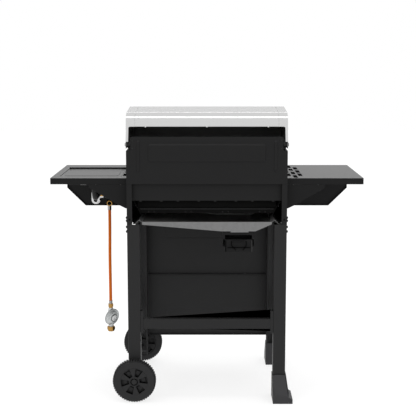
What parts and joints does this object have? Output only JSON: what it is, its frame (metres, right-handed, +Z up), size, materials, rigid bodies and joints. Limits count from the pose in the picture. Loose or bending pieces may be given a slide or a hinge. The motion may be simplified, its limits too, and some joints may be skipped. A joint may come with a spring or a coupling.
{
  "type": "gas barbecue grill",
  "caption": "Gas grill on a wheeled cart with a hinged hood, side shelves, a lidded side burner, a slide-out drip tray and grease cup, push-turn knobs, and a hanging hose and regulator.",
  "frame": {"origin": "On the ground, in the middle of the box round the grill without its hose and regulator", "axes": "+Z up, the user stands at -Y, the back is +Y, +X is the side with the wheels, side burner and hose"},
  "size_m": [1.22, 0.606, 1.149],
  "materials": {
    "body_paint": "dark grey enamel, satin",
    "table_paint": "dark grey powder coat, satin",
    "lid_paint": "silver, satin",
    "zinc_sheet": "galvanised, dull",
    "steel_fasteners": "zinc plated",
    "stainless": "brushed",
    "cast_parts": "matt enamel",
    "chrome_wire": "bright wire",
    "feet_plastic": "moulded, fine grain",
    "wheel_plastic": "moulded, slight sheen",
    "knob_plastic": "moulded, semi-gloss",
    "bezel_chrome": "bright",
    "gas_brass": "machined",
    "gas_pipe": "plated tube",
    "hose_rubber": "orange, smooth",
    "hose_crimp": "crimped",
    "regulator_zinc": "die cast, bare"
  },
  "bodies": {
    "cart_and_firebox": {"burner_rail": "body_paint", "burners": "stainless", "control_panel": "body_paint", "cooking_grates": "cast_parts", "firebox_side_left": "body_paint", "firebox_side_right": "body_paint", "firebox_tub": "body_paint", "flame_tamers": "stainless", "foot_front_left": "feet_plastic", "foot_rear_left": "feet_plastic", "frame_bolts": "steel_fasteners", "front_panel_lower": "body_paint", "front_panel_upper": "body_paint", "gas_hose": "hose_rubber", "gas_manifold": "gas_pipe", "gas_regulator": "regulator_zinc", "gas_valves": "gas_brass", "hinge_pins": "steel_fasteners", "hose_ferrules": "hose_crimp", "hose_nuts": "gas_brass", "knob_bezels": "bezel_chrome", "leg_front_left": "body_paint", "leg_front_right": "body_paint", "leg_rear_left": "body_paint", "leg_rear_right": "body_paint", "rear_crossbar": "body_paint", "rear_panel": "body_paint", "side_burner": "cast_parts", "side_burner_bowl": "table_paint", "side_burner_feed": "stainless", "side_burner_grate": "cast_parts", "side_rails": "body_paint", "side_table_left": "table_paint", "side_table_right": "table_paint", "table_gussets": "body_paint", "tray_rails": "body_paint", "warming_rack": "chrome_wire", "wheel_axle": "steel_fasteners"},
    "lid": {"lid_skin": "lid_paint", "lid_end_left": "lid_paint", "lid_end_right": "lid_paint", "lid_handle": "stainless", "handle_arms": "knob_plastic", "thermometer": "stainless"},
    "drip_tray": {"drip_tray": "zinc_sheet", "cup_holder": "zinc_sheet"},
    "grease_cup": {"grease_cup": "zinc_sheet"},
    "side_burner_lid": {"side_burner_lid": "table_paint"},
    "wheel_front": {"wheel_front": "wheel_plastic"},
    "wheel_rear": {"wheel_rear": "wheel_plastic"},
    "valve_stem_1": {"valve_stem_1": "steel_fasteners"},
    "knob_1": {"knob_1": "knob_plastic"},
    "valve_stem_2": {"valve_stem_2": "steel_fasteners"},
    "knob_2": {"knob_2": "knob_plastic"},
    "valve_stem_3": {"valve_stem_3": "steel_fasteners"},
    "knob_3": {"knob_3": "knob_plastic"},
    "valve_stem_4": {"valve_stem_4": "steel_fasteners"},
    "knob_4": {"knob_4": "knob_plastic"},
    "valve_stem_5": {"valve_stem_5": "steel_fasteners"},
    "knob_5": {"knob_5": "knob_plastic"}
  },
  "joints": [
    {"name": "lid_hinge", "type": "hinge", "parent": "cart_and_firebox", "child": "lid", "pos_m": [0, 0.21, 1.014], "axis": [-1, 0, 0], "range_deg": [0, 85]},
    {"name": "tray_slide", "type": "slide", "parent": "cart_and_firebox", "child": "drip_tray", "axis": [0, 1, 0], "range_m": [0, 0.38]},
    {"name": "cup_slide", "type": "slide", "parent": "drip_tray", "child": "grease_cup", "axis": [0, 1, 0], "range_m": [0, 0.08]},
    {"name": "side_lid_hinge", "type": "hinge", "parent": "cart_and_firebox", "child": "side_burner_lid", "pos_m": [0.4595, 0.142, 0.8792], "axis": [-1, 0, 0], "range_deg": [0, 100]},
    {"name": "wheel_front_spin", "type": "hinge", "parent": "cart_and_firebox", "child": "wheel_front", "pos_m": [0.2865, -0.267, 0.085], "axis": [0, 1, 0], "continuous": true},
    {"name": "wheel_rear_spin", "type": "hinge", "parent": "cart_and_firebox", "child": "wheel_rear", "pos_m": [0.2865, 0.267, 0.085], "axis": [0, 1, 0], "continuous": true},
    {"name": "knob_1_push", "type": "slide", "parent": "cart_and_firebox", "child": "valve_stem_1", "axis": [0, 1, 0], "range_m": [0, 0.004], "stiffness_N_per_m": 400, "springref_m": -0.003},
    {"name": "knob_1_turn", "type": "hinge", "parent": "valve_stem_1", "child": "knob_1", "pos_m": [-0.2175, -0.28, 0.7765], "axis": [0, -1, 0], "range_deg": [0, 180]},
    {"name": "knob_2_push", "type": "slide", "parent": "cart_and_firebox", "child": "valve_stem_2", "axis": [0, 1, 0], "range_m": [0, 0.004], "stiffness_N_per_m": 400, "springref_m": -0.003},
    {"name": "knob_2_turn", "type": "hinge", "parent": "valve_stem_2", "child": "knob_2", "pos_m": [-0.0725, -0.28, 0.7765], "axis": [0, -1, 0], "range_deg": [0, 180]},
    {"name": "knob_3_push", "type": "slide", "parent": "cart_and_firebox", "child": "valve_stem_3", "axis": [0, 1, 0], "range_m": [0, 0.004], "stiffness_N_per_m": 400, "springref_m": -0.003},
    {"name": "knob_3_turn", "type": "hinge", "parent": "valve_stem_3", "child": "knob_3", "pos_m": [0.0725, -0.28, 0.7765], "axis": [0, -1, 0], "range_deg": [0, 180]},
    {"name": "knob_4_push", "type": "slide", "parent": "cart_and_firebox", "child": "valve_stem_4", "axis": [0, 1, 0], "range_m": [0, 0.004], "stiffness_N_per_m": 400, "springref_m": -0.003},
    {"name": "knob_4_turn", "type": "hinge", "parent": "valve_stem_4", "child": "knob_4", "pos_m": [0.2175, -0.28, 0.7765], "axis": [0, -1, 0], "range_deg": [0, 180]},
    {"name": "knob_5_push", "type": "slide", "parent": "cart_and_firebox", "child": "valve_stem_5", "axis": [0, 1, 0], "range_m": [0, 0.004], "stiffness_N_per_m": 400, "springref_m": -0.003},
    {"name": "knob_5_turn", "type": "hinge", "parent": "valve_stem_5", "child": "knob_5", "pos_m": [0.4595, -0.28, 0.7765], "axis": [0, -1, 0], "range_deg": [0, 180]}
  ]
}
